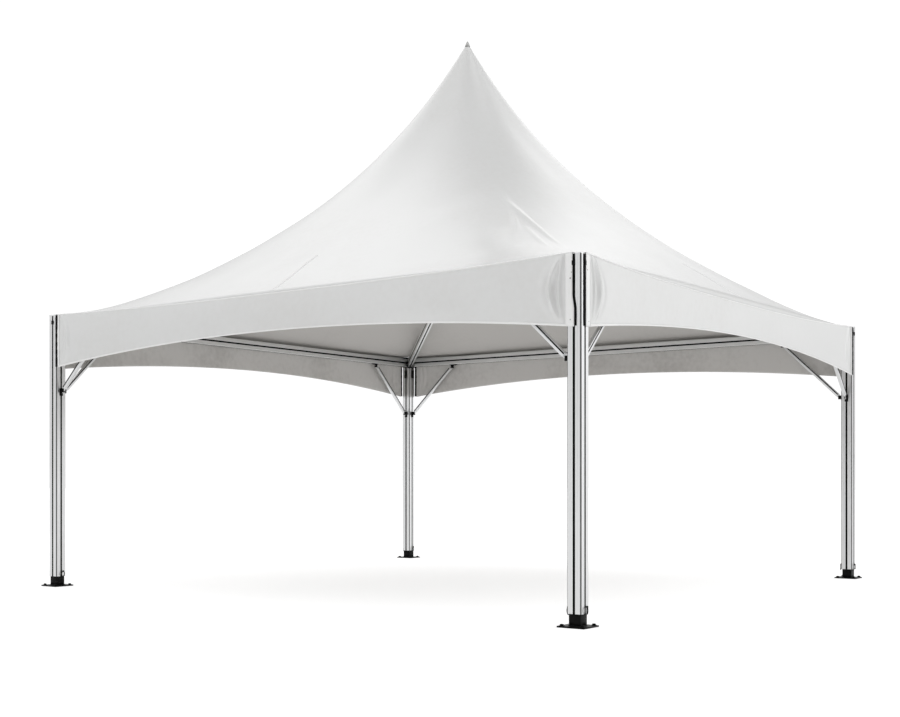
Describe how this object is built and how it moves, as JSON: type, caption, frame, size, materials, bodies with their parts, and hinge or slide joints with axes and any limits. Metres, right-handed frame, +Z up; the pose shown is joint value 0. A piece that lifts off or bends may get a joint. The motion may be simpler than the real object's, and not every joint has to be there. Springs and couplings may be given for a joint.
{
  "type": "high peak frame marquee tent",
  "caption": "Square frame marquee on slotted aluminium legs with a pointed white roof skin, arched valances, knee braces and steel base plates.",
  "frame": {"origin": "on the ground, at the middle of the square plan, under the roof's peak", "axes": "+Z up to the peak; -Y towards the front side, +X towards the right side"},
  "size_m": [5.19, 5.19, 4.76],
  "materials": {
    "leg_aluminium": "bright anodised, satin",
    "frame_aluminium": "mill finish, satin",
    "brace_aluminium": "satin",
    "black_steel": "black paint, satin",
    "roof_fabric": "white coated polyester, glossy, closed weave",
    "valance_fabric": "white coated polyester, satin, closed weave",
    "cap_plastic": "moulded, matte"
  },
  "bodies": {
    "root": {"base_plate_front_right": "black_steel", "foot_pin_front_right": "black_steel", "leg_front_right": "leg_aluminium", "corner_bracket_front_right": "black_steel", "hip_rafter_front_right": "frame_aluminium", "base_plate_back_right": "black_steel", "foot_pin_back_right": "black_steel", "leg_back_right": "leg_aluminium", "corner_bracket_back_right": "black_steel", "hip_rafter_back_right": "frame_aluminium", "base_plate_back_left": "black_steel", "foot_pin_back_left": "black_steel", "leg_back_left": "leg_aluminium", "corner_bracket_back_left": "black_steel", "hip_rafter_back_left": "frame_aluminium", "base_plate_front_left": "black_steel", "foot_pin_front_left": "black_steel", "leg_front_left": "leg_aluminium", "corner_bracket_front_left": "black_steel", "hip_rafter_front_left": "frame_aluminium", "eave_beam_front": "frame_aluminium", "knee_brace_front_right": "brace_aluminium", "knee_brace_front_left": "brace_aluminium", "valance_front": "valance_fabric", "canopy_panel_front": "roof_fabric", "eave_beam_right": "frame_aluminium", "knee_brace_right_back": "brace_aluminium", "knee_brace_right_front": "brace_aluminium", "valance_right": "valance_fabric", "canopy_panel_right": "roof_fabric", "eave_beam_back": "frame_aluminium", "knee_brace_back_left": "brace_aluminium", "knee_brace_back_right": "brace_aluminium", "valance_back": "valance_fabric", "canopy_panel_back": "roof_fabric", "eave_beam_left": "frame_aluminium", "knee_brace_left_front": "brace_aluminium", "knee_brace_left_back": "brace_aluminium", "valance_left": "valance_fabric", "canopy_panel_left": "roof_fabric", "crown_hub": "black_steel", "king_post": "frame_aluminium", "peak_cap": "cap_plastic"}
  },
  "joints": []
}
